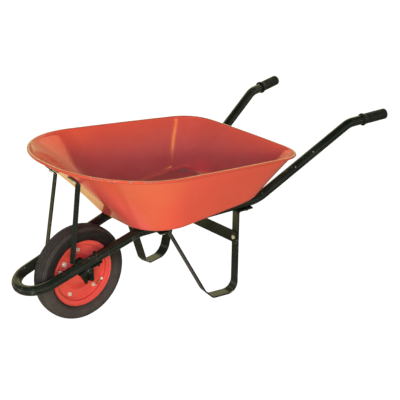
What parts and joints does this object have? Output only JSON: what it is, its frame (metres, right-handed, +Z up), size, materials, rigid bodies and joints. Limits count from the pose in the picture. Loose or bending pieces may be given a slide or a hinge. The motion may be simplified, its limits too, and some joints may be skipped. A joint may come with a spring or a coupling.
{
  "type": "wheelbarrow",
  "caption": "Single-wheel builder's wheelbarrow with a pressed steel tray, bent tube frame, strap stands, front struts and a pneumatic wheel that turns on its axle.",
  "frame": {"origin": "centre of the footprint box, on the ground: halfway between the front of the tube loop and the ends of the grips, on the centre plane", "axes": "+Z up, +X towards the handles, -X towards the wheel, +Y to the left of somebody who holds the handles and faces the wheel; the centre plane is Y = 0"},
  "size_m": [1.4321, 0.6474, 0.576],
  "materials": {
    "red_paint": "gloss, orange-red sprayed enamel",
    "wheel_red": "gloss, red sprayed enamel",
    "black_paint": "semi-gloss black dip paint",
    "zinc": "bright zinc plated",
    "tyre_rubber": "ribbed black rubber",
    "tube_rubber": "dull butyl rubber",
    "grip_plastic": "moulded, ribbed",
    "bush_plastic": "natural nylon",
    "brass": "plain",
    "bare_steel": "turned, oiled"
  },
  "bodies": {
    "frame": {"tray": "red_paint", "main_frame_tube": "black_paint", "left_grip": "grip_plastic", "right_grip": "grip_plastic", "left_stand": "black_paint", "right_stand": "black_paint", "stand_cross_brace": "black_paint", "brace_bolts": "zinc", "brace_nuts": "zinc", "left_front_strut": "black_paint", "right_front_strut": "black_paint", "strut_top_bolts": "zinc", "strut_top_nuts": "zinc", "left_axle_bracket": "black_paint", "right_axle_bracket": "black_paint", "bracket_bolts": "black_paint", "bracket_nuts": "black_paint", "tray_bolts": "zinc", "tray_washers": "zinc", "tray_nuts": "zinc", "axle_bolt": "black_paint", "axle_nut": "black_paint", "axle_washers": "black_paint", "axle_sleeve": "bare_steel", "axle_spacers": "zinc"},
    "wheel": {"hub_tube": "wheel_red", "hub_bushes": "bush_plastic", "left_wheel_half": "wheel_red", "right_wheel_half": "wheel_red", "rim_bolts": "zinc", "rim_nuts": "zinc", "clamp_bolt": "zinc", "clamp_nut": "zinc", "tyre": "tyre_rubber", "inner_tube": "tube_rubber", "valve_stem": "brass", "valve_cap": "brass"}
  },
  "joints": [
    {"name": "wheel_spin", "type": "hinge", "parent": "frame", "child": "wheel", "pos_m": [-0.4707, 0, 0.166], "axis": [0, 1, 0], "continuous": true}
  ]
}
